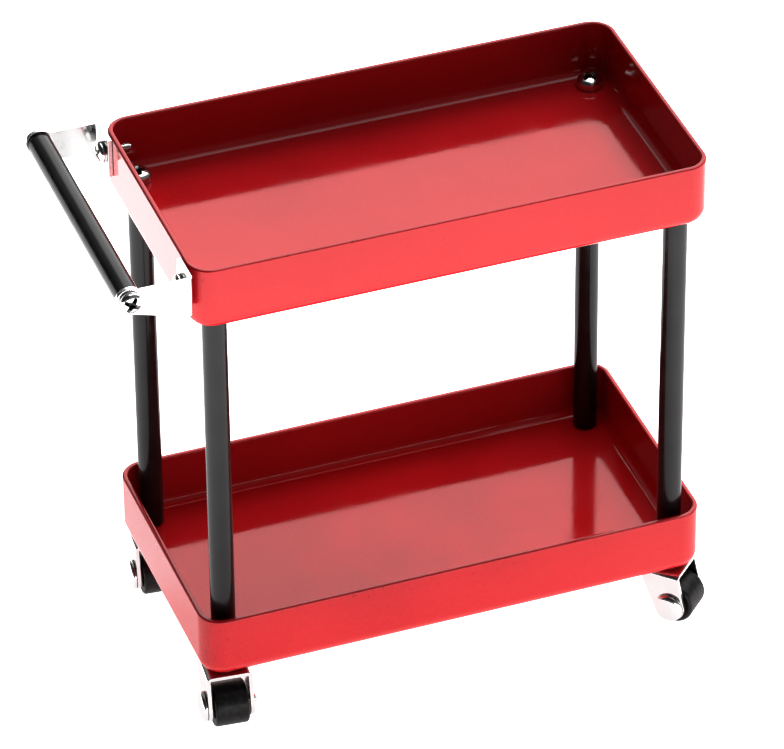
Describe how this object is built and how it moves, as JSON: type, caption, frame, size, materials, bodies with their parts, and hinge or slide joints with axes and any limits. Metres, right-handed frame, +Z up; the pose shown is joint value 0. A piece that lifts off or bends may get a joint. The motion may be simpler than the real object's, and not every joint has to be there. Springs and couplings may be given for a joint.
{
  "type": "rolling utility cart",
  "caption": "Two-tier push cart in miniature: pressed trays on round posts, a bar handle held by bent side brackets, and swivel casters with wide wheels.",
  "frame": {"origin": "on the floor under the wheels, at the middle of the overall length and width", "axes": "+Z up; -X is the handle's end and +X the plain end, along the trays' length; -Y is called the front and +Y the back"},
  "size_m": [0.1106, 0.0547, 0.1001],
  "materials": {
    "red_enamel": "glossy baked enamel on steel sheet",
    "black_lacquer": "semi-gloss black lacquer on steel rod",
    "bright_plate": "bright nickel-chrome plate",
    "black_plastic": "moulded, satin"
  },
  "bodies": {
    "frame": {"lower_tray": "red_enamel", "upper_tray": "red_enamel", "front_left_post": "black_lacquer", "front_left_post_screw": "bright_plate", "front_left_pivot_screw": "bright_plate", "front_left_swivel_washer": "bright_plate", "back_left_post": "black_lacquer", "back_left_post_screw": "bright_plate", "back_left_pivot_screw": "bright_plate", "back_left_swivel_washer": "bright_plate", "front_right_post": "black_lacquer", "front_right_post_screw": "bright_plate", "front_right_pivot_screw": "bright_plate", "front_right_swivel_washer": "bright_plate", "back_right_post": "black_lacquer", "back_right_post_screw": "bright_plate", "back_right_pivot_screw": "bright_plate", "back_right_swivel_washer": "bright_plate", "handle_bracket_front": "bright_plate", "bracket_screw_front": "bright_plate", "handle_screw_front": "bright_plate", "handle_bracket_back": "bright_plate", "bracket_screw_back": "bright_plate", "handle_screw_back": "bright_plate", "handle_bar": "black_lacquer"},
    "front_left_caster": {"front_left_fork": "bright_plate", "front_left_axle": "bright_plate"},
    "front_left_wheel": {"front_left_wheel": "black_plastic"},
    "back_left_caster": {"back_left_fork": "bright_plate", "back_left_axle": "bright_plate"},
    "back_left_wheel": {"back_left_wheel": "black_plastic"},
    "front_right_caster": {"front_right_fork": "bright_plate", "front_right_axle": "bright_plate"},
    "front_right_wheel": {"front_right_wheel": "black_plastic"},
    "back_right_caster": {"back_right_fork": "bright_plate", "back_right_axle": "bright_plate"},
    "back_right_wheel": {"back_right_wheel": "black_plastic"}
  },
  "joints": [
    {"name": "front_left_swivel", "type": "hinge", "parent": "frame", "child": "front_left_caster", "pos_m": [-0.03632, -0.0205, 0.01115], "axis": [0, 0, 1], "continuous": true},
    {"name": "front_left_wheel_spin", "type": "hinge", "parent": "front_left_caster", "child": "front_left_wheel", "pos_m": [-0.03654, -0.02279, 0.004], "axis": [0.9954, -0.0958, 0], "continuous": true},
    {"name": "back_left_swivel", "type": "hinge", "parent": "frame", "child": "back_left_caster", "pos_m": [-0.03632, 0.0205, 0.01115], "axis": [0, 0, 1], "continuous": true},
    {"name": "back_left_wheel_spin", "type": "hinge", "parent": "back_left_caster", "child": "back_left_wheel", "pos_m": [-0.03652, 0.01821, 0.004], "axis": [0.9962, -0.0872, 0], "continuous": true},
    {"name": "front_right_swivel", "type": "hinge", "parent": "frame", "child": "front_right_caster", "pos_m": [0.04868, -0.0205, 0.01115], "axis": [0, 0, 1], "continuous": true},
    {"name": "front_right_wheel_spin", "type": "hinge", "parent": "front_right_caster", "child": "front_right_wheel", "pos_m": [0.05028, -0.02215, 0.004], "axis": [0.7193, 0.6947, 0], "continuous": true},
    {"name": "back_right_swivel", "type": "hinge", "parent": "frame", "child": "back_right_caster", "pos_m": [0.04868, 0.0205, 0.01115], "axis": [0, 0, 1], "continuous": true},
    {"name": "back_right_wheel_spin", "type": "hinge", "parent": "back_right_caster", "child": "back_right_wheel", "pos_m": [0.04896, 0.02278, 0.004], "axis": [-0.9925, 0.1219, 0], "continuous": true}
  ]
}
